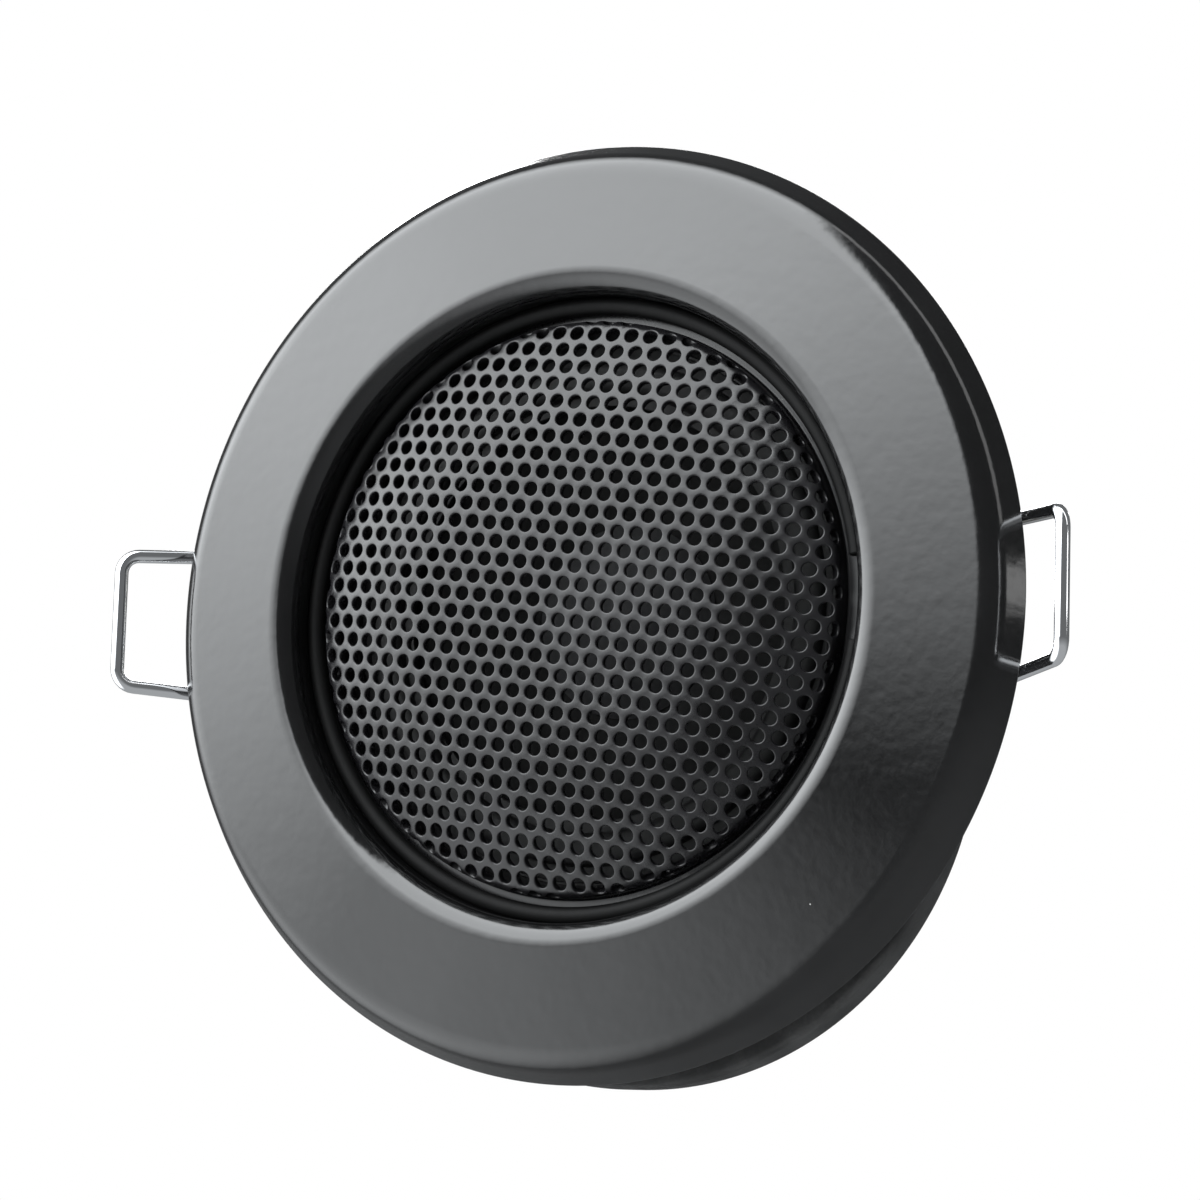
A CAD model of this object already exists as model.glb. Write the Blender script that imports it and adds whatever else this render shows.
"""Looks of the recessed round speaker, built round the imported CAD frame.

Outlines and routes are in millimetres, in the CAD's own frame. They are turned into metres as each mesh is
made. The speaker faces -Y, +Z is up, and a depth is a distance behind the panel's face, along +Y.
"""

import math

import bmesh
import bpy
from mathutils import Matrix, Vector
from mathutils.geometry import delaunay_2d_cdt


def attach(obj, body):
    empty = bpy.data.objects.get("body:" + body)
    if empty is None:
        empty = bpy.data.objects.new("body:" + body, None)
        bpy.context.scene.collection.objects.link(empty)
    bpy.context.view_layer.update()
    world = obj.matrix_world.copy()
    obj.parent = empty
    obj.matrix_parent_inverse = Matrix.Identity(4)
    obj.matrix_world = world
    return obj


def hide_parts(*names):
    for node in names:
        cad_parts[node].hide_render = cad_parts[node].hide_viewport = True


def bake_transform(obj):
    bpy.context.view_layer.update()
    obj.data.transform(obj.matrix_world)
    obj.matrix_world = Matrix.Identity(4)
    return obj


MM = 0.001
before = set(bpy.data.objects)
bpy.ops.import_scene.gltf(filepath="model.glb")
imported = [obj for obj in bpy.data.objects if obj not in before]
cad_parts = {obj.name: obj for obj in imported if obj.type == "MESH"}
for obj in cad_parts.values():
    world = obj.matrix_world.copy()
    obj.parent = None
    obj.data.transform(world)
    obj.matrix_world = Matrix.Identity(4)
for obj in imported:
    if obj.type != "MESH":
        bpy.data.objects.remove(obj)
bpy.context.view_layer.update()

# Sizes shared with the CAD, in millimetres
TOUCH_GAP = 0.02             # between pieces that touch or are glued
FLANGE_RADIUS = 40.0
LIP_DEPTH = -4.3             # crest of the trim ring's rounded inner lip
LIP_ROUND = 1.7
EDGE_RADIUS = 38.3           # where the side wall and the face would meet without their rounding
EDGE_DEPTH = -3.0
SEAT_WIDTH = 2.1             # flat ring that touches the panel
CORE_DEPTH = -1.6            # bottom of the hollow behind the face
RECESS_RADIUS = 26.6
NECK_RADIUS = 28.0
NECK_LENGTH = 17.0
LEDGE_RADIUS = 25.2          # ledge between grille and driver
LEDGE_FRONT = 0.6
LEDGE_BACK = 1.8

GRILLE_RADIUS = 24.5         # outside of the skirt
GRILLE_SHEET = 0.7
GRILLE_FLANGE = 0.6
GRILLE_PLAY = 0.2            # round the flange, in the recess
CROWN_CURVE = 200.0          # radius of curvature of the flat middle
CROWN_SLOPE = math.radians(3.2)
DOME_CURVE = 38.0            # radius of curvature from there to the shoulder
SHOULDER_CURVE = 1.0
SHOULDER_DEPTH = -1.3        # where the rounded shoulder meets the skirt
HOLE_PITCH = 1.75
ROW_PITCH = 1.545
HOLE_RADIUS = 0.58
HOLE_FIELD = 24.9            # measured over the flat sheet
HOLE_TURN = math.radians(-6.5)

GRILLE_RING_WIRE = 0.75      # wire radii
DRIVER_RING_WIRE = 0.7
GRILLE_RING_BITE = 0.05      # how far the wire reaches into the recess wall
DRIVER_RING_BITE = 0.35
RING_GAP = 7.0               # opening between the ring's ends

SEAL_WIDTH = 2.0
SEAL_FRONT = 1.6
SEAL_BACK = 5.4
SEAL_SAG = (4.2, -10.1)      # to the right and down

WIRE_RADIUS = 0.6
COIL_RADIUS = 1.7            # to the middle of the wire
COIL_PITCH = 1.3
COIL_TURNS = 1.5
PIN = (30.6, 12.8)
REST_GAP = 0.05              # between the clip's arm and the flange's edge
LOOP_HALF_TIP = 5.8          # half the loop's height at its free end
LOOP_HALF_RIM = 6.15         # where it crosses the flange's edge
LOOP_HALF_COIL = 7.0
LOOP_REACH = 6.5             # length of arm beyond the flange's edge
LOOP_CORNER = 1.6

DRIVER_RADIUS = 26.3
DRIVER_FRONT = 2.6
DRIVER_GASKET_INNER = 23.2
FRAME_SHEET = 0.8
FRAME_INNER = 21.6
ROLL_INNER = 18.8
ROLL_FRONT = 1.2
SURROUND_SHEET = 0.4
SURROUND_OUTER_LIP = 1.4     # glued to the frame
SURROUND_INNER_LIP = 1.0     # glued to the cone
CONE_DEPTH = 6.8
CONE_SHEET = 0.45
CAP_RADIUS = 8.5
CAP_HEIGHT = 2.8
CAP_SHEET = 0.3
FORMER_RADIUS = 7.15         # outside
WINDING_FRONT = 13.1
WINDING_BACK = 17.5
SPIDER_DEPTH = 11.2
SPIDER_OUTER = 16.0
SPIDER_RIM = 1.2             # flat edge that is glued to the frame
SPIDER_SHEET = 0.3
SPIDER_WAVE = 0.35
SPIDER_WAVES = 4

CIRCUIT_FRONT = 13.8
PLATE_BACK = 16.8
MAGNET_BACK = 22.8
YOKE_BACK = 25.8
PLATE_RADIUS = 15.0
PLATE_BORE = 7.75
POLE_RADIUS = 6.7
MAGNET_RADIUS = 16.0
MAGNET_INNER = 9.0

BLADE_X = 5.0
LEAD_JOINT_Z = -12.2

# Sizes that only the looks have, in millimetres
TRIM_LIP_ROUND = 1.8
TRIM_EDGE_ROUND = 2.7
RIM_OF_HOLES = 0.6           # how far past the shoulder the perforated sheet is made
# Rings of a hole's rounded edge: how far out from the hole's wall, and how far in from the face
HOLE_EDGE_RINGS = ((0.14, 0.0), (0.075, 0.012), (0.03, 0.045), (0.006, 0.1), (0.0, 0.17))
SPIDER_CHAMFER = 0.1
WINDING_VALLEY = 7.41        # radius between two turns of wire
WINDING_CREST = 0.04         # how far each turn stands out
WINDING_TURNS = 28
LEAD_START = (11.3, -19.8)   # depth and height of the lead's end on its terminal
LEAD_BEND = (8.7, -18.8)
LEAD_CONE_RUN = (0.9, -3.6)  # from the joint on the cone to the bend before it
LEAD_BEHIND_CONE = 1.35
LEAD_CORNER = 1.2
LEAD_STEP = 0.12
DIMPLE_RADIUS = 3.4          # of the floor of the dimple in the yoke's back
DIMPLE_MOUTH = 4.2
DIMPLE_FLOOR = 25.1

# Steps round a curve
ROUND_STEPS = 8
LATHE_STEPS = 288
HOLE_STEPS = 24
RING_STEPS = 240
COIL_STEPS = 28              # in each turn
CAP_STEPS = 24
SPIDER_STEPS = 96
WINDING_STEPS = 6            # in each turn

SOFT_SHINE = 0.3


# Mesh tools

def rounded_path(points, rounds, closed):
    """Points with each corner replaced by an arc of its own radius, or left sharp where that is 0."""
    path = []
    count = len(points)
    for i, corner in enumerate(points):
        radius = rounds[i]
        if radius <= 0 or (not closed and i in (0, count - 1)):
            path.append(Vector(corner))
            continue
        corner = Vector(corner)
        to_last = (Vector(points[i - 1]) - corner).normalized()
        to_next = (Vector(points[(i + 1) % count]) - corner).normalized()
        half = to_last.angle(to_next) / 2
        reach = radius / math.tan(half)
        centre = corner + (to_last + to_next).normalized() * (radius / math.sin(half))
        first = corner + to_last * reach - centre
        last = corner + to_next * reach - centre
        sweep = first.angle(last)
        for step in range(ROUND_STEPS + 1):
            t = step / ROUND_STEPS
            a = math.sin((1 - t) * sweep) / math.sin(sweep)
            b = math.sin(t * sweep) / math.sin(sweep)
            path.append(centre + first * a + last * b)
    return path


def held(path, closed, margin=0.12):
    """The path with a point added near both ends of each long run, so that flats are shaded flat."""
    out = []
    count = len(path)
    for i, point in enumerate(path):
        out.append(point)
        if i == count - 1 and not closed:
            break
        run = path[(i + 1) % count] - point
        if run.length > 6 * margin:
            step = run.normalized() * margin
            out += [point + step, point + run - step]
    return out


def outline(*corners, closed=True):
    """A (radius, depth) outline from corners given as (radius, depth, rounding)."""
    points = [Vector((c[0], c[1])) for c in corners]
    path = rounded_path(points, [c[2] if len(c) > 2 else 0 for c in corners], closed)
    return held(path, closed)


def piece(name, vertices, faces, material, body, nodes, slot, sharp=35.0):
    """A smooth-shaded mesh in millimetres, made into a piece that rides on a body and stands for CAD nodes.

    With no body, the caller says how the piece moves.
    """
    mesh = bpy.data.meshes.new(name)
    mesh.from_pydata([Vector(v) * MM for v in vertices], [], faces)
    mesh.validate()
    tidy = bmesh.new()
    tidy.from_mesh(mesh)
    bmesh.ops.remove_doubles(tidy, verts=tidy.verts, dist=0.0005 * MM)
    bmesh.ops.recalc_face_normals(tidy, faces=tidy.faces)
    tidy.to_mesh(mesh)
    tidy.free()
    mesh.shade_smooth()
    mesh.set_sharp_from_angle(angle=math.radians(sharp))
    mesh.materials.append(material)
    obj = bpy.data.objects.new(name, mesh)
    bpy.context.scene.collection.objects.link(obj)
    if body:
        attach(obj, body)
    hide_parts(*nodes)
    return obj


def lathe(path, closed=True, centre_at=None):
    """Vertices and faces of a (radius, depth) outline turned about the speaker's axis."""
    vertices, faces = [], []
    count = len(path)
    for step in range(LATHE_STEPS):
        angle = 2 * math.pi * step / LATHE_STEPS
        across, up = math.cos(angle), math.sin(angle)
        middle = centre_at(angle) if centre_at else (0.0, 0.0)
        vertices += [(middle[0] + r * across, depth, middle[1] + r * up) for r, depth in path]
    for step in range(LATHE_STEPS):
        here, there = step * count, (step + 1) % LATHE_STEPS * count
        for i in range(count if closed else count - 1):
            j = (i + 1) % count
            faces.append((here + i, here + j, there + j, there + i))
    return vertices, faces


def tube(path, radius, sides=20, end_round=0.15):
    """Vertices and faces of round wire along a path, with slightly rounded ends."""
    path = [Vector(p) for p in path]
    last = len(path) - 1
    tangents = []
    for i in range(len(path)):
        along = path[min(i + 1, last)] - path[max(i - 1, 0)]
        tangents.append(along.normalized())
    side = tangents[0].orthogonal().normalized()
    rings = []
    for point, tangent in zip(path, tangents):
        side = (side - tangent * side.dot(tangent)).normalized()
        rings.append((point, side, tangent.cross(side), 1.0))
    lip = end_round * radius
    start, end = rings[0], rings[-1]
    rings[0] = (start[0] + tangents[0] * lip, *start[1:])
    rings[-1] = (end[0] - tangents[-1] * lip, *end[1:])
    rings = [(*start[:3], 1 - end_round), *rings, (*end[:3], 1 - end_round)]
    vertices, faces = [], []
    for middle, across, up, scale in rings:
        for k in range(sides):
            angle = 2 * math.pi * k / sides
            vertices.append(middle + (across * math.cos(angle) + up * math.sin(angle)) * radius * scale)
    for i in range(len(rings) - 1):
        here, there = i * sides, (i + 1) * sides
        for k in range(sides):
            m = (k + 1) % sides
            faces.append((here + k, here + m, there + m, there + k))
    faces.append(tuple(reversed(range(sides))))
    faces.append(tuple(range(len(vertices) - sides, len(vertices))))
    return vertices, faces


def joined(*meshes):
    """Several (vertices, faces) pairs as one."""
    vertices, faces = [], []
    for more_vertices, more_faces in meshes:
        start = len(vertices)
        vertices += [Vector(v) for v in more_vertices]
        faces += [tuple(start + i for i in face) for face in more_faces]
    return vertices, faces


def mirrored(mesh):
    """The same (vertices, faces) on the other side of the speaker."""
    vertices, faces = mesh
    return [(-v[0], v[1], v[2]) for v in vertices], [tuple(reversed(face)) for face in faces]


# Materials

def shader(name, colour, roughness, metallic=0.0):
    """A new material with its shader's plain values set, its node tree and its shader."""
    material = bpy.data.materials.new(name)
    material.use_nodes = True
    tree = material.node_tree
    surface = tree.nodes["Principled BSDF"]
    surface.inputs["Base Color"].default_value = (*colour, 1)
    surface.inputs["Roughness"].default_value = roughness
    surface.inputs["Metallic"].default_value = metallic
    material.diffuse_color = (*colour, 1)
    return material, tree, surface


def add(tree, kind, settings=(), **inputs):
    """A node with its settings and inputs filled in. An input may be a value or another node's output."""
    made = tree.nodes.new(kind)
    for key, value in dict(settings).items():
        setattr(made, key, value)
    for key, value in inputs.items():
        socket = made.inputs[int(key[1:])] if key[0] == "_" else made.inputs[key.replace("_", " ")]
        if isinstance(value, bpy.types.NodeSocket):
            tree.links.new(value, socket)
        else:
            socket.default_value = value
    return made


def place(tree):
    """Object coordinates, which are the CAD frame's own metres."""
    return add(tree, "ShaderNodeTexCoord").outputs["Object"]


def noise(tree, size_mm, detail=2.0):
    """Noise with features of about this size."""
    made = add(tree, "ShaderNodeTexNoise", Vector=place(tree), Scale=1 / (size_mm * MM), Detail=detail)
    return made.outputs[0]


def ramp(tree, value, low, high, at_low, at_high):
    """Value mapped from low..high to at_low..at_high."""
    made = add(tree, "ShaderNodeMapRange", _0=value)
    for i, number in enumerate((low, high, at_low, at_high), 1):
        made.inputs[i].default_value = number
    return made.outputs[0]


def blend_colour(tree, share, first, second):
    """A colour between two, where share may be a node's output."""
    made = add(tree, "ShaderNodeMix", {"data_type": "RGBA"})
    tree.links.new(share, made.inputs[0])
    for socket, value in ((made.inputs[6], first), (made.inputs[7], second)):
        if isinstance(value, bpy.types.NodeSocket):
            tree.links.new(value, socket)
        else:
            socket.default_value = (*value, 1)
    return made.outputs[2]


def relief(tree, surface, layers):
    """Stacks bump layers of (height output, depth in millimetres) on a shader."""
    normal = None
    for height, depth in layers:
        bump = add(tree, "ShaderNodeBump", Height=height, Distance=depth * MM)
        if normal:
            tree.links.new(normal, bump.inputs["Normal"])
        normal = bump.outputs[0]
    tree.links.new(normal, surface.inputs["Normal"])


def paint(name, colour, roughness, peel, grain=0.0, shine=0.6):
    """Black paint with orange peel, uneven gloss and a little dust."""
    material, tree, surface = shader(name, colour, roughness)
    surface.inputs["Specular IOR Level"].default_value = shine
    gloss = ramp(tree, noise(tree, 14.0, 3), 0.3, 0.7, roughness - 0.03, roughness + 0.04)
    fine = ramp(tree, noise(tree, 0.5, 2), 0.3, 0.7, -0.02, 0.02)
    total = add(tree, "ShaderNodeMath", {"operation": "ADD"}, _0=gloss, _1=fine).outputs[0]
    tree.links.new(total, surface.inputs["Roughness"])
    cloud = ramp(tree, noise(tree, 9.0, 4), 0.35, 0.7, 0.0, 1.0)
    worn = tuple(c * 1.5 + 0.001 for c in colour)
    base = blend_colour(tree, cloud, colour, worn)
    dust = add(tree, "ShaderNodeTexVoronoi", Vector=place(tree), Scale=1 / (2.6 * MM), Randomness=1.0)
    near = ramp(tree, dust.outputs["Distance"], 0.012, 0.03, 1.0, 0.0)
    rare = add(tree, "ShaderNodeSeparateColor", _0=dust.outputs["Color"]).outputs[0]
    chosen = ramp(tree, rare, 0.87, 0.89, 0.0, 0.7)
    speck = add(tree, "ShaderNodeMath", {"operation": "MULTIPLY"}, _0=near, _1=chosen).outputs[0]
    tree.links.new(blend_colour(tree, speck, base, (0.5, 0.5, 0.48)), surface.inputs["Base Color"])
    layers = [(noise(tree, 1.3, 1), peel), (noise(tree, 0.6, 2), peel * 0.35)]
    if grain:
        layers.append((noise(tree, 0.18, 2), grain))
    relief(tree, surface, layers)
    return material


def metal(name, colour, roughness, scratch=0.002, tarnish=None):
    """Bare or plated metal with fine drawn marks and uneven polish."""
    material, tree, surface = shader(name, colour, roughness, metallic=1.0)
    marks = noise(tree, 0.35, 4)
    cloud = noise(tree, 5.0, 4)
    gloss = ramp(tree, marks, 0.3, 0.7, roughness * 0.75, roughness * 1.35)
    patches = ramp(tree, cloud, 0.35, 0.7, -roughness * 0.15, roughness * 0.3)
    total = add(tree, "ShaderNodeMath", {"operation": "ADD"}, _0=gloss, _1=patches).outputs[0]
    tree.links.new(total, surface.inputs["Roughness"])
    if tarnish:
        share = ramp(tree, cloud, 0.4, 0.75, 0.0, 1.0)
        tree.links.new(blend_colour(tree, share, colour, tarnish), surface.inputs["Base Color"])
    relief(tree, surface, [(marks, scratch)])
    return material


def soft(name, colour, lighter, roughness, grain_mm, depth, sheen=0.0):
    """Rubber, paper, fibre or cloth: a mottled colour over a fine grain."""
    material, tree, surface = shader(name, colour, roughness)
    surface.inputs["Sheen Weight"].default_value = sheen
    surface.inputs["Specular IOR Level"].default_value = SOFT_SHINE
    grain = noise(tree, grain_mm, 5)
    cloud = noise(tree, grain_mm * 14, 3)
    mottle = add(tree, "ShaderNodeMath", {"operation": "MULTIPLY"}, _0=grain, _1=cloud).outputs[0]
    share = ramp(tree, mottle, 0.12, 0.42, 0.0, 1.0)
    tree.links.new(blend_colour(tree, share, colour, lighter), surface.inputs["Base Color"])
    gloss = ramp(tree, grain, 0.3, 0.7, roughness - 0.08, roughness + 0.1)
    tree.links.new(gloss, surface.inputs["Roughness"])
    relief(tree, surface, [(grain, depth)])
    return material


trim_paint = paint("trim_paint", (0.003, 0.003, 0.0031), 0.12, 0.014)
grille_paint = paint("grille_paint", (0.004, 0.0038, 0.0044), 0.28, 0.003, grain=0.001, shine=0.4)
ring_paint = paint("snap_ring_paint", (0.002, 0.002, 0.002), 0.6, 0.002, shine=0.12)
frame_paint = paint("frame_paint", (0.014, 0.014, 0.014), 0.4, 0.004, grain=0.002)
chrome = metal("chrome_wire", (0.87, 0.88, 0.9), 0.07, scratch=0.001)
zinc = metal("zinc_steel", (0.62, 0.63, 0.62), 0.3, scratch=0.0005, tarnish=(0.55, 0.52, 0.44))
rivet_metal = metal("rivet_aluminium", (0.75, 0.75, 0.76), 0.32, scratch=0.0005)
brass = metal("tinned_brass", (0.78, 0.74, 0.62), 0.28, scratch=0.0005, tarnish=(0.66, 0.56, 0.36))
copper = metal("coil_copper", (0.55, 0.2, 0.09), 0.35)
foil = metal("former_foil", (0.7, 0.7, 0.7), 0.3)
braid = metal("lead_braid", (0.66, 0.42, 0.22), 0.4, scratch=0.03)
foam = soft("foam_rubber", (0.012, 0.012, 0.012), (0.035, 0.035, 0.035), 0.7, 0.25, 0.03)
surround_rubber = soft("surround_rubber", (0.012, 0.012, 0.012), (0.025, 0.025, 0.025), 0.55, 0.3, 0.01)
cone_paper = soft("cone_paper", (0.003, 0.003, 0.003), (0.01, 0.01, 0.01), 0.9, 0.4, 0.03)
cap_paper = soft("cap_paper", (0.012, 0.012, 0.013), (0.025, 0.025, 0.026), 0.7, 0.3, 0.01)
spider_cloth = soft("spider_cloth", (0.42, 0.27, 0.1), (0.62, 0.45, 0.2), 0.75, 0.3, 0.04, sheen=0.2)
ferrite = soft("ferrite", (0.035, 0.035, 0.038), (0.085, 0.085, 0.09), 0.6, 0.35, 0.02)
fibre = soft("board_fibre", (0.16, 0.055, 0.02), (0.28, 0.11, 0.045), 0.5, 0.3, 0.008)


# Trim ring

FACE_SLOPE = (EDGE_DEPTH - LIP_DEPTH) / (EDGE_RADIUS - RECESS_RADIUS - LIP_ROUND)
trim_outline = outline(
    (RECESS_RADIUS, LIP_DEPTH - FACE_SLOPE * LIP_ROUND, TRIM_LIP_ROUND),
    (EDGE_RADIUS, EDGE_DEPTH, TRIM_EDGE_ROUND),
    (FLANGE_RADIUS, 0, 0.12),
    (FLANGE_RADIUS - SEAT_WIDTH, 0, 0.2),
    (FLANGE_RADIUS - SEAT_WIDTH, CORE_DEPTH, 0.4),
    (NECK_RADIUS, CORE_DEPTH, 0.6),
    (NECK_RADIUS, NECK_LENGTH, 0.3),
    (RECESS_RADIUS, NECK_LENGTH, 0.3),
    (RECESS_RADIUS, LEDGE_BACK, 0.15),
    (LEDGE_RADIUS, LEDGE_BACK, 0.15),
    (LEDGE_RADIUS, LEDGE_FRONT, 0.15),
    (RECESS_RADIUS, LEDGE_FRONT, 0.15),
)
piece("trim_ring_painted", *lathe(trim_outline), trim_paint, "housing", ["trim_ring"], "trim_paint")


# Grille: a flat crown, a dome round it and a rounded shoulder, each an arc that runs into the next

SHOULDER_MIDDLE = GRILLE_RADIUS - SHOULDER_CURVE
CROWN_REACH = (CROWN_CURVE - DOME_CURVE) * math.sin(CROWN_SLOPE)
DOME_SLOPE = math.asin((SHOULDER_MIDDLE - CROWN_REACH) / (DOME_CURVE - SHOULDER_CURVE))
CROWN_EDGE = CROWN_CURVE * math.sin(CROWN_SLOPE)
DOME_EDGE = SHOULDER_MIDDLE + SHOULDER_CURVE * math.sin(DOME_SLOPE)
DOME_MIDDLE = SHOULDER_DEPTH + (DOME_CURVE - SHOULDER_CURVE) * math.cos(DOME_SLOPE)
CROWN_MIDDLE = DOME_MIDDLE + (CROWN_CURVE - DOME_CURVE) * math.cos(CROWN_SLOPE)
SHOULDER_END = DOME_EDGE + SHOULDER_CURVE * (math.pi / 2 - DOME_SLOPE)


def grille_point(reach):
    """(radius, depth, slope) of the grille's outside, at this distance over the flat sheet."""
    if reach <= CROWN_EDGE:
        slope = math.asin(reach / CROWN_CURVE)
        return reach, CROWN_MIDDLE - CROWN_CURVE * math.cos(slope), slope
    if reach <= DOME_EDGE:
        slope = math.asin((reach - CROWN_REACH) / DOME_CURVE)
        return reach, DOME_MIDDLE - DOME_CURVE * math.cos(slope), slope
    slope = min(DOME_SLOPE + (reach - DOME_EDGE) / SHOULDER_CURVE, math.pi / 2)
    drop = max(reach - SHOULDER_END, 0.0)
    radius = SHOULDER_MIDDLE + SHOULDER_CURVE * math.sin(slope)
    return radius, SHOULDER_DEPTH - SHOULDER_CURVE * math.cos(slope) + drop, slope


def on_grille(flat, inset):
    """The place over a point of the flat sheet, this far in from the outside."""
    reach = flat.length
    radius, depth, slope = grille_point(reach)
    radius -= inset * math.sin(slope)
    unit = flat / reach if reach > 1e-9 else Vector((0, 0))
    return unit.x * radius, depth + inset * math.cos(slope), unit.y * radius


def hole_places():
    """Centres of the grille's holes on the flat sheet, in rows turned a little from level."""
    rows = int(HOLE_FIELD / ROW_PITCH)
    columns = int(HOLE_FIELD / HOLE_PITCH) + 1
    places = []
    for row in range(-rows, rows + 1):
        for column in range(-columns, columns + 1):
            spot = Vector(((column + (0.5 if row % 2 else 0)) * HOLE_PITCH, row * ROW_PITCH))
            if spot.length <= HOLE_FIELD:
                spot.rotate(Matrix.Rotation(HOLE_TURN, 2))
                places.append(spot)
    return places


def unit_circle(steps):
    """Points of a circle of radius 1, evenly spaced."""
    angles = [2 * math.pi * k / steps for k in range(steps)]
    return [Vector((math.cos(angle), math.sin(angle))) for angle in angles]


def band(first, second):
    """Faces between two rings of vertices that have as many each."""
    count = len(first)
    return [(first[k], second[k], second[(k + 1) % count], first[(k + 1) % count]) for k in range(count)]


def make_grille():
    """A domed sheet with punched, round-edged holes, and the skirt and flange round it."""
    rim_reach = SHOULDER_END + RIM_OF_HOLES
    holes = hole_places()
    circle = unit_circle(HOLE_STEPS)
    rim_circle = unit_circle(LATHE_STEPS)
    wide = HOLE_RADIUS + HOLE_EDGE_RINGS[0][0]
    flat = [spot + c * wide for spot in holes for c in circle]
    loops = [list(range(h * HOLE_STEPS, (h + 1) * HOLE_STEPS)) for h in range(len(holes))]
    edges = []
    for reach in (rim_reach, DOME_EDGE + 0.1, DOME_EDGE + 0.6, SHOULDER_END):
        ring = [c * reach for c in rim_circle]
        clear = [p for p in ring if min((p - spot).length for spot in holes) > wide + 0.05]
        start = len(flat)
        flat += clear
        if reach == rim_reach:
            edges = [(start + k, start + (k + 1) % LATHE_STEPS) for k in range(LATHE_STEPS)]
    points, _, triangles, _, _, owners = delaunay_2d_cdt(flat, edges, loops, 1, 1e-5)
    keep = [tuple(face) for face, owner in zip(triangles, owners) if not owner]
    vertices = [on_grille(p, 0) for p in points]
    under = len(vertices)
    vertices += [on_grille(p, GRILLE_SHEET) for p in points]
    faces = keep + [tuple(under + i for i in reversed(face)) for face in keep]
    place_of = {(round(p.x, 3), round(p.y, 3)): i for i, p in enumerate(points)}
    for spot, loop in zip(holes, loops):
        last = [place_of[(round(flat[i].x, 3), round(flat[i].y, 3))] for i in loop]
        bottom = [under + i for i in last]
        for grow, drop in HOLE_EDGE_RINGS[1:]:
            ring = list(range(len(vertices), len(vertices) + HOLE_STEPS))
            vertices += [on_grille(spot + c * (HOLE_RADIUS + grow), drop) for c in circle]
            faces += band(last, ring)
            last = ring
        faces += band(last, bottom)
    rim_depth = grille_point(rim_reach)[1]
    skirt = outline(
        (GRILLE_RADIUS, rim_depth),
        (GRILLE_RADIUS, 0, 0.2),
        (RECESS_RADIUS - GRILLE_PLAY, 0, 0.1),
        (RECESS_RADIUS - GRILLE_PLAY, GRILLE_FLANGE, 0.1),
        (GRILLE_RADIUS - GRILLE_SHEET, GRILLE_FLANGE, 0.2),
        (GRILLE_RADIUS - GRILLE_SHEET, rim_depth),
        closed=False,
    )
    return joined((vertices, faces), lathe(skirt, closed=False))


piece("grille_perforated", *make_grille(), grille_paint, "housing", ["grille"], "grille_black", sharp=50)


# Snap rings

def snap_ring(radius, depth, wire, gap_degrees):
    """Open ring of round wire with its gap at an angle, in degrees from +X."""
    gap_half = RING_GAP / 2 / radius
    start = math.radians(gap_degrees) + gap_half
    sweep = 2 * math.pi - 2 * gap_half
    path = []
    for k in range(RING_STEPS + 1):
        angle = start + sweep * k / RING_STEPS
        path.append((radius * math.cos(angle), depth, radius * math.sin(angle)))
    return tube(path, wire, sides=16)


grille_ring = snap_ring(
    RECESS_RADIUS + GRILLE_RING_BITE - GRILLE_RING_WIRE,
    -GRILLE_RING_WIRE - TOUCH_GAP / 2,
    GRILLE_RING_WIRE,
    0,
)
driver_ring = snap_ring(
    RECESS_RADIUS + DRIVER_RING_BITE - DRIVER_RING_WIRE,
    DRIVER_FRONT + FRAME_SHEET + DRIVER_RING_WIRE + TOUCH_GAP / 2,
    DRIVER_RING_WIRE,
    -90,
)
piece("grille_snap_ring_wire", *grille_ring, ring_paint, "housing", ["grille_snap_ring"], "snap_ring_black")
piece("driver_snap_ring_wire", *driver_ring, ring_paint, "housing", ["driver_snap_ring"], "snap_ring_black")


# Seal

def seal_centre(angle):
    """Centre of the seal's upper arc, or of its sagging lower one."""
    sag = Vector(SEAL_SAG)
    faces_sag = Vector((math.cos(angle), math.sin(angle))).dot(sag) > 0
    return tuple(sag) if faces_sag else (0.0, 0.0)


seal_outline = outline(
    (NECK_RADIUS + TOUCH_GAP, SEAL_FRONT, 0.15),
    (NECK_RADIUS + SEAL_WIDTH, SEAL_FRONT, 0.5),
    (NECK_RADIUS + SEAL_WIDTH, SEAL_BACK, 0.5),
    (NECK_RADIUS + TOUCH_GAP, SEAL_BACK, 0.15),
)
seal = lathe(seal_outline, centre_at=seal_centre)
piece("seal_foam", *seal, foam, "housing", ["seal_gasket"], "foam_rubber")


# Clips

# Each arm runs from its coil past the flange's edge, which it clears by the rest gap
RIM_X = math.sqrt(FLANGE_RADIUS**2 - LOOP_HALF_RIM**2)
PIN_TO_RIM = math.hypot(PIN[1], RIM_X - PIN[0])
ARM_OFFSET = math.asin((COIL_RADIUS + WIRE_RADIUS + REST_GAP) / PIN_TO_RIM)
ARM_ANGLE = math.atan2(PIN[1], RIM_X - PIN[0]) - ARM_OFFSET
ARM_ALONG = Vector((math.cos(ARM_ANGLE), -math.sin(ARM_ANGLE)))
ARM_START = Vector(PIN) - Vector((math.sin(ARM_ANGLE), math.cos(ARM_ANGLE))) * COIL_RADIUS
ARM_TIP = ARM_START + ARM_ALONG * ((Vector((RIM_X, 0)) - ARM_START).dot(ARM_ALONG) + LOOP_REACH)


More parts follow.
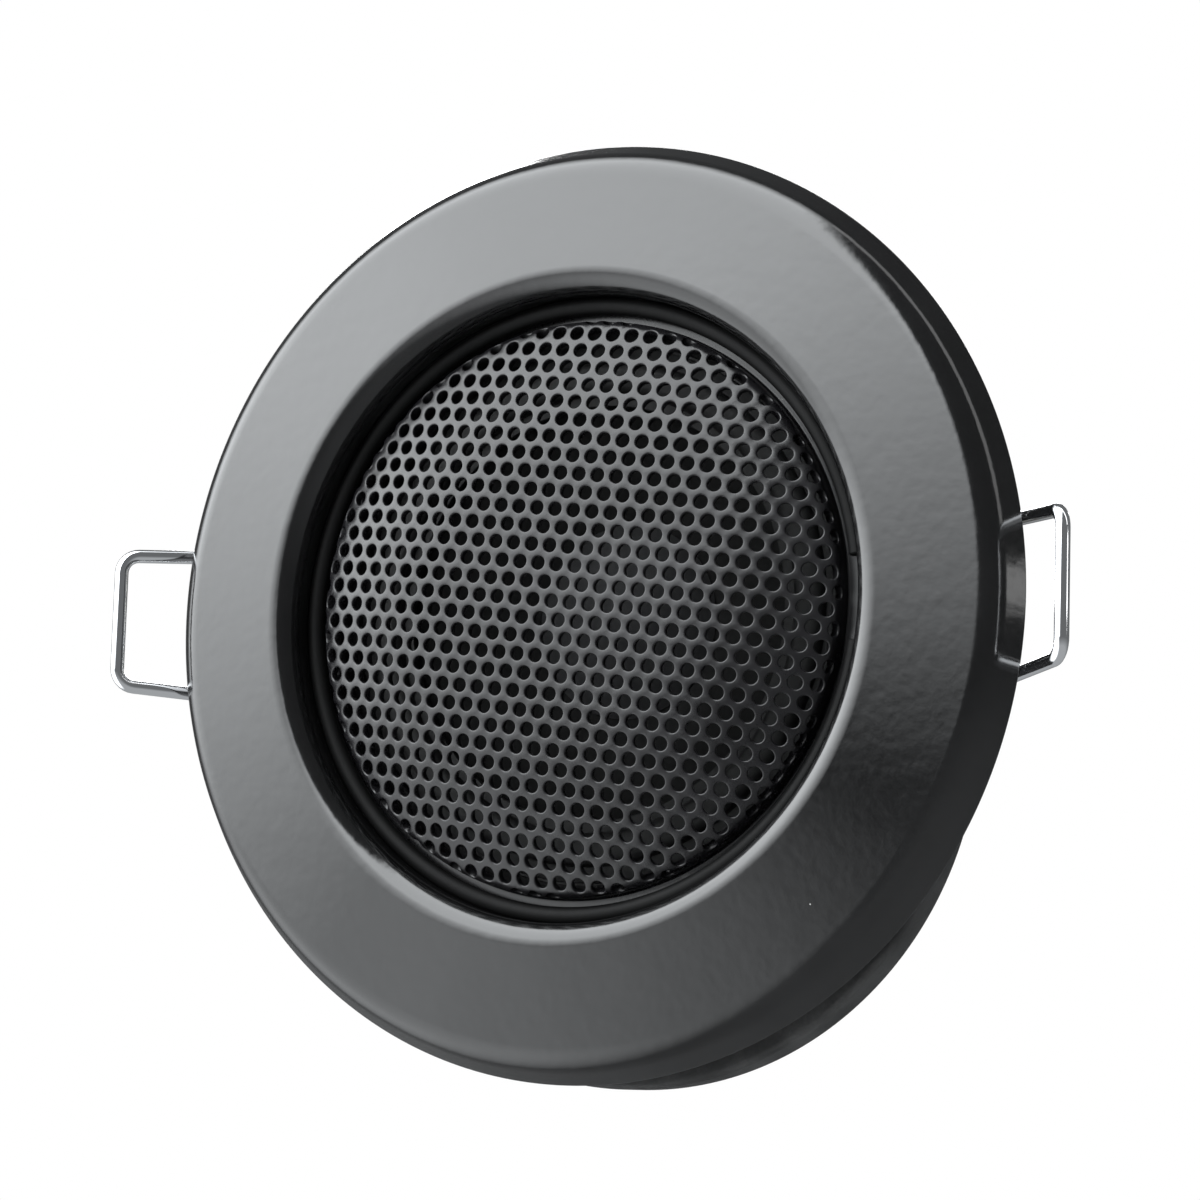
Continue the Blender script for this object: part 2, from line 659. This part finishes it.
def upper_coil(start_angle):
    """Points of the coil round the right pin, from the end of the loop's upper arm upwards."""
    steps = int(COIL_TURNS * COIL_STEPS)
    points = []
    for k in range(1, steps + 1):
        angle = start_angle - 2 * math.pi * COIL_TURNS * k / steps
        across = PIN[0] + COIL_RADIUS * math.cos(angle)
        depth = PIN[1] + COIL_RADIUS * math.sin(angle)
        points.append(Vector((across, depth, LOOP_HALF_COIL + COIL_PITCH * COIL_TURNS * k / steps)))
    return points


def clip_path():
    """The right clip's wire from the end of its upper coil to the end of its lower one."""
    corners = [
        (*ARM_START, LOOP_HALF_COIL),
        (*ARM_TIP, LOOP_HALF_TIP),
        (*ARM_TIP, -LOOP_HALF_TIP),
        (*ARM_START, -LOOP_HALF_COIL),
    ]
    loop = rounded_path([Vector(c) for c in corners], [0, LOOP_CORNER, LOOP_CORNER, 0], closed=False)
    start_angle = math.atan2(ARM_START[1] - PIN[1], ARM_START[0] - PIN[0])
    upper = upper_coil(start_angle)
    lower = [Vector((p.x, p.y, -p.z)) for p in upper]
    return list(reversed(upper)) + loop + lower


clip = tube(clip_path(), WIRE_RADIUS)
piece("clip_right_wire", *clip, chrome, "clip_right", ["clip_right"], "chrome_wire")
piece("clip_left_wire", *mirrored(clip), chrome, "clip_left", ["clip_left"], "chrome_wire")


# Inside and behind

def turned(name, path, material, body, slot, closed=True, sharp=35.0):
    """A turned piece that stands for the CAD node of the same name."""
    return piece(name + "_turned", *lathe(path, closed), material, body, [name], slot, sharp)


def dressed(material, *nodes):
    """Gives CAD nodes that keep their shape a better material."""
    for node in nodes:
        for material_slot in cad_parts[node].material_slots:
            material_slot.material = material


def cone_front(radius):
    """Depth of the cone's front at a radius."""
    return DRIVER_FRONT + (ROLL_INNER - radius) / (ROLL_INNER - FORMER_RADIUS) * CONE_DEPTH


def cap_path():
    """Outline of the dust cap: two arcs about one centre, with the inner one's end seated on the cone."""
    curve = (CAP_RADIUS**2 + CAP_HEIGHT**2) / (2 * CAP_HEIGHT)
    rim_slope = math.asin(CAP_RADIUS / curve)
    inner = curve - CAP_SHEET
    middle = cone_front(inner * math.sin(rim_slope)) - TOUCH_GAP + inner * math.cos(rim_slope)
    slopes = [rim_slope * k / CAP_STEPS for k in range(CAP_STEPS + 1)]
    front = [Vector((curve * math.sin(t), middle - curve * math.cos(t))) for t in slopes]
    back = [Vector((inner * math.sin(t), middle - inner * math.cos(t))) for t in reversed(slopes)]
    return front + back


def spider_path():
    """Outline of the corrugated spider with its flat rim."""
    waves_end = SPIDER_OUTER - SPIDER_RIM
    front = []
    for k in range(SPIDER_STEPS + 1):
        share = k / SPIDER_STEPS
        wave = -SPIDER_WAVE * math.sin(2 * math.pi * SPIDER_WAVES * share)
        front.append(Vector((FORMER_RADIUS + share * (waves_end - FORMER_RADIUS), SPIDER_DEPTH + wave)))
    front.append(Vector((SPIDER_OUTER - SPIDER_CHAMFER, SPIDER_DEPTH)))
    back = [point + Vector((0, SPIDER_SHEET)) for point in reversed(front)]
    edge_front = Vector((SPIDER_OUTER, SPIDER_DEPTH + SPIDER_CHAMFER))
    edge_back = Vector((SPIDER_OUTER, SPIDER_DEPTH + SPIDER_SHEET))
    return front + [edge_front, edge_back] + back


def winding_path():
    """Outline of the voice coil with a scallop for each turn of wire."""
    steps = WINDING_TURNS * WINDING_STEPS
    outside = []
    for k in range(steps + 1):
        share = k / steps
        radius = WINDING_VALLEY + WINDING_CREST * abs(math.sin(math.pi * WINDING_TURNS * share))
        outside.append(Vector((radius, WINDING_FRONT + share * (WINDING_BACK - WINDING_FRONT))))
    return outside + [Vector((FORMER_RADIUS, WINDING_BACK)), Vector((FORMER_RADIUS, WINDING_FRONT))]


def lead_route(side):
    """The lead's path from its terminal to the back of the cone, in fine even steps."""
    x = side * BLADE_X
    joint_depth = cone_front(math.hypot(BLADE_X, LEAD_JOINT_Z)) + LEAD_BEHIND_CONE
    corners = [
        (x, *LEAD_START),
        (x, *LEAD_BEND),
        (x, joint_depth + LEAD_CONE_RUN[0], LEAD_JOINT_Z + LEAD_CONE_RUN[1]),
        (x, joint_depth, LEAD_JOINT_Z),
    ]
    coarse = rounded_path([Vector(c) for c in corners], [0, LEAD_CORNER, LEAD_CORNER, 0], closed=False)
    route = []
    for first, last in zip(coarse, coarse[1:]):
        parts = max(1, round((last - first).length / LEAD_STEP))
        route += [first.lerp(last, k / parts) for k in range(parts)]
    return route + [coarse[-1]]


def twisted(route, strands=3, strand_radius=0.125, lay=1.8):
    """Vertices and faces of a few strands laid round each other along a route."""
    across = Vector((1, 0, 0))
    meshes = []
    for strand in range(strands):
        path = []
        run = 0.0
        for i, point in enumerate(route):
            before, after = route[max(i - 1, 0)], route[min(i + 1, len(route) - 1)]
            up = across.cross((after - before).normalized())
            run += (point - before).length
            angle = 2 * math.pi * (run / lay + strand / strands)
            path.append(point + (across * math.cos(angle) + up * math.sin(angle)) * strand_radius * 1.15)
        meshes.append(tube(path, strand_radius, sides=10))
    return joined(*meshes)


for name, side in (("lead_positive", 1), ("lead_negative", -1)):
    lead = piece(name + "_strands", *twisted(lead_route(side)), braid, None, [name], "lead_braid")
    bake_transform(lead)

gasket_outline = outline(
    (DRIVER_GASKET_INNER, LEDGE_BACK, 0.2),
    (DRIVER_RADIUS, LEDGE_BACK, 0.2),
    (DRIVER_RADIUS, DRIVER_FRONT, 0.2),
    (DRIVER_GASKET_INNER, DRIVER_FRONT, 0.2),
)
turned("driver_gasket", gasket_outline, foam, "housing", "foam_rubber")

lip_front = DRIVER_FRONT - SURROUND_SHEET
surround_outer = FRAME_INNER + SURROUND_OUTER_LIP
surround_inner = ROLL_INNER - SURROUND_INNER_LIP
surround_outline = outline(
    (surround_outer, lip_front, 0.1),
    (FRAME_INNER, lip_front, 0.1),
    (FRAME_INNER, ROLL_FRONT, 0.9),
    (ROLL_INNER, ROLL_FRONT, 0.9),
    (ROLL_INNER, lip_front, 0.1),
    (surround_inner, lip_front, 0.1),
    (surround_inner, DRIVER_FRONT, 0.1),
    (ROLL_INNER + SURROUND_SHEET, DRIVER_FRONT, 0.1),
    (ROLL_INNER + SURROUND_SHEET, ROLL_FRONT + SURROUND_SHEET, 0.5),
    (FRAME_INNER - SURROUND_SHEET, ROLL_FRONT + SURROUND_SHEET, 0.5),
    (FRAME_INNER - SURROUND_SHEET, DRIVER_FRONT, 0.1),
    (surround_outer, DRIVER_FRONT, 0.1),
)
turned("surround", surround_outline, surround_rubber, "housing", "surround_rubber")

cone_outline = outline(
    (FORMER_RADIUS, cone_front(FORMER_RADIUS)),
    (surround_inner, cone_front(surround_inner), 0.1),
    (surround_inner, DRIVER_FRONT),
    (ROLL_INNER, DRIVER_FRONT, 0.1),
    (ROLL_INNER, DRIVER_FRONT + CONE_SHEET, 0.1),
    (FORMER_RADIUS, cone_front(FORMER_RADIUS) + CONE_SHEET),
)
turned("cone", cone_outline, cone_paper, "cone_assembly", "cone_paper")
turned("dust_cap", cap_path(), cap_paper, "cone_assembly", "cap_grey")
turned("voice_coil", winding_path(), copper, "cone_assembly", "coil_copper", sharp=60)
turned("spider", spider_path(), spider_cloth, "housing", "spider_cloth")

plate_outline = outline(
    (PLATE_BORE, CIRCUIT_FRONT, 0.2),
    (PLATE_RADIUS, CIRCUIT_FRONT, 0.4),
    (PLATE_RADIUS, PLATE_BACK, 0.4),
    (PLATE_BORE, PLATE_BACK, 0.2),
)
turned("top_plate", plate_outline, zinc, "housing", "zinc_steel")

magnet_outline = outline(
    (MAGNET_INNER, PLATE_BACK, 0.3),
    (MAGNET_RADIUS, PLATE_BACK, 0.7),
    (MAGNET_RADIUS, MAGNET_BACK, 0.7),
    (MAGNET_INNER, MAGNET_BACK, 0.3),
)
turned("magnet", magnet_outline, ferrite, "housing", "ferrite")

yoke_outline = outline(
    (0, CIRCUIT_FRONT),
    (POLE_RADIUS, CIRCUIT_FRONT, 0.3),
    (POLE_RADIUS, MAGNET_BACK, 0.4),
    (PLATE_RADIUS, MAGNET_BACK, 0.5),
    (PLATE_RADIUS, YOKE_BACK, 0.5),
    (DIMPLE_MOUTH, YOKE_BACK, 0.2),
    (DIMPLE_RADIUS, DIMPLE_FLOOR, 0.3),
    (0, DIMPLE_FLOOR),
    closed=False,
)
turned("yoke", yoke_outline, zinc, "housing", "zinc_steel", closed=False)

dressed(zinc, "clip_bracket_right", "clip_bracket_left", "clip_pin_right", "clip_pin_left")
dressed(rivet_metal, "bracket_rivets", "board_rivet")
dressed(chrome, "spring_legs")
dressed(frame_paint, "basket")
dressed(foil, "coil_former")
dressed(fibre, "terminal_board")
dressed(brass, "terminal_positive", "terminal_negative")


# Camera, floor and light

VIEW_UP = math.radians(-7.66)
VIEW_SIDE = math.radians(27.85)
VIEW_ROLL = math.radians(1.70)
VIEW_DISTANCE = 300          # millimetres
VIEW_SHIFT = (1.518, 0.779)  # to the camera's right and up, in millimetres

away = Vector((
    math.sin(VIEW_SIDE) * math.cos(VIEW_UP),
    -math.cos(VIEW_SIDE) * math.cos(VIEW_UP),
    math.sin(VIEW_UP),
))
level_right = Vector((math.cos(VIEW_SIDE), math.sin(VIEW_SIDE), 0))
level_up = level_right.cross(-away)
right = level_right * math.cos(VIEW_ROLL) + level_up * math.sin(VIEW_ROLL)
up = level_up * math.cos(VIEW_ROLL) - level_right * math.sin(VIEW_ROLL)
camera_data = bpy.data.cameras.new("camera")
camera_data.lens = 106.5
camera_data.sensor_width = 36
camera_data.clip_start = 0.01
camera_data.clip_end = 50
camera = bpy.data.objects.new("camera", camera_data)
bpy.context.scene.collection.objects.link(camera)
camera.rotation_mode = "QUATERNION"
camera.rotation_quaternion = Matrix((right, up, away)).transposed().to_quaternion()
camera.location = (away * VIEW_DISTANCE + right * VIEW_SHIFT[0] + up * VIEW_SHIFT[1]) * MM
bpy.context.scene.camera = camera


def at(side, height, distance):
    """A place in millimetres: degrees to the side of straight ahead of the speaker, degrees up, distance."""
    side, height = math.radians(side), math.radians(height)
    flat = distance * math.cos(height)
    return Vector((flat * math.sin(side), -flat * math.cos(side), distance * math.sin(height)))


def soft_box(name, place_mm, size_mm, power):
    """A rectangular light at a place, turned to the speaker."""
    data = bpy.data.lights.new(name, "AREA")
    data.shape = "RECTANGLE"
    data.size = size_mm[0] * MM
    data.size_y = size_mm[1] * MM
    data.energy = power
    light = bpy.data.objects.new(name, data)
    bpy.context.scene.collection.objects.link(light)
    light.location = place_mm * MM
    light.rotation_mode = "QUATERNION"
    light.rotation_quaternion = (-place_mm).to_track_quat("-Z", "Y")


soft_box("right_soft_box", at(101, 8, 600), (130, 80), 0.09)
soft_box("rim_strip", at(90, 48, 600), (110, 700), 0.42)
soft_box("rear_soft_box", at(-155, 20, 700), (300, 300), 2.0)

FLOOR_RADIUS = 0.7           # metres
FLOOR_HEIGHT = -0.1
FLOOR_SIDES = 96
floor_points = [(*(c * FLOOR_RADIUS), FLOOR_HEIGHT) for c in unit_circle(FLOOR_SIDES)]
floor_mesh = bpy.data.meshes.new("floor")
floor_mesh.from_pydata(floor_points, [], [tuple(range(FLOOR_SIDES))])
floor = bpy.data.objects.new("floor", floor_mesh)
bpy.context.scene.collection.objects.link(floor)
floor_material, _, _ = shader("floor_paper", (0.85, 0.85, 0.85), 0.8)
floor_mesh.materials.append(floor_material)
floor.visible_glossy = False

# The world lights the speaker with a wide soft key from above and a little to the left. The key fades
# downwards and round to the back, and ends along a nearly upright edge just left of straight ahead. A weaker
# glow comes from the lower left, and a faint light from the table. The camera sees plain white instead.
KEY_STRENGTH = 7.0
GLOW_STRENGTH = 2.5
BASE_STRENGTH = 0.15
TABLE_STRENGTH = 0.25
KEY_CENTRE = (-0.2, 0, 0.98)
KEY_EDGE_NORMAL = (-0.985, 0.05, 0.16)
GLOW_CENTRE = (-0.8, -0.5, -0.35)


def towards(tree, direction, centre):
    """How far each direction points towards a centre, as a dot product."""
    product = add(tree, "ShaderNodeVectorMath", {"operation": "DOT_PRODUCT"}, _0=direction, _1=centre)
    return product.outputs["Value"]


world = bpy.data.worlds.new("studio")
world.use_nodes = True
tree = world.node_tree
direction = add(tree, "ShaderNodeTexCoord").outputs["Generated"]
axes = add(tree, "ShaderNodeSeparateXYZ", _0=direction).outputs
key = ramp(tree, towards(tree, direction, KEY_CENTRE), 0.02, 0.5, 0.0, KEY_STRENGTH)
front_only = ramp(tree, axes[1], -0.2, 0.15, 1.0, 0.0)
inside_edge = ramp(tree, towards(tree, direction, KEY_EDGE_NORMAL), -0.06, 0.05, 0.0, 1.0)
for mask in (front_only, inside_edge):
    key = add(tree, "ShaderNodeMath", {"operation": "MULTIPLY"}, _0=key, _1=mask).outputs[0]
glow = ramp(tree, towards(tree, direction, GLOW_CENTRE), 0.65, 0.95, BASE_STRENGTH, GLOW_STRENGTH)
table = ramp(tree, axes[2], -0.5, 0.0, TABLE_STRENGTH, 0.0)
strength = key
for more in (glow, table):
    strength = add(tree, "ShaderNodeMath", {"operation": "ADD"}, _0=strength, _1=more).outputs[0]
studio = tree.nodes["Background"]
studio.inputs[0].default_value = (0.95, 0.98, 1.0, 1)
tree.links.new(strength, studio.inputs[1])
white = add(tree, "ShaderNodeBackground")
white.inputs[0].default_value = (1, 1, 1, 1)
mix = add(tree, "ShaderNodeMixShader", _0=add(tree, "ShaderNodeLightPath").outputs["Is Camera Ray"])
tree.links.new(studio.outputs[0], mix.inputs[1])
tree.links.new(white.outputs[0], mix.inputs[2])
tree.links.new(mix.outputs[0], tree.nodes["World Output"].inputs[0])
bpy.context.scene.world = world
bpy.context.scene.view_settings.view_transform = "Standard"
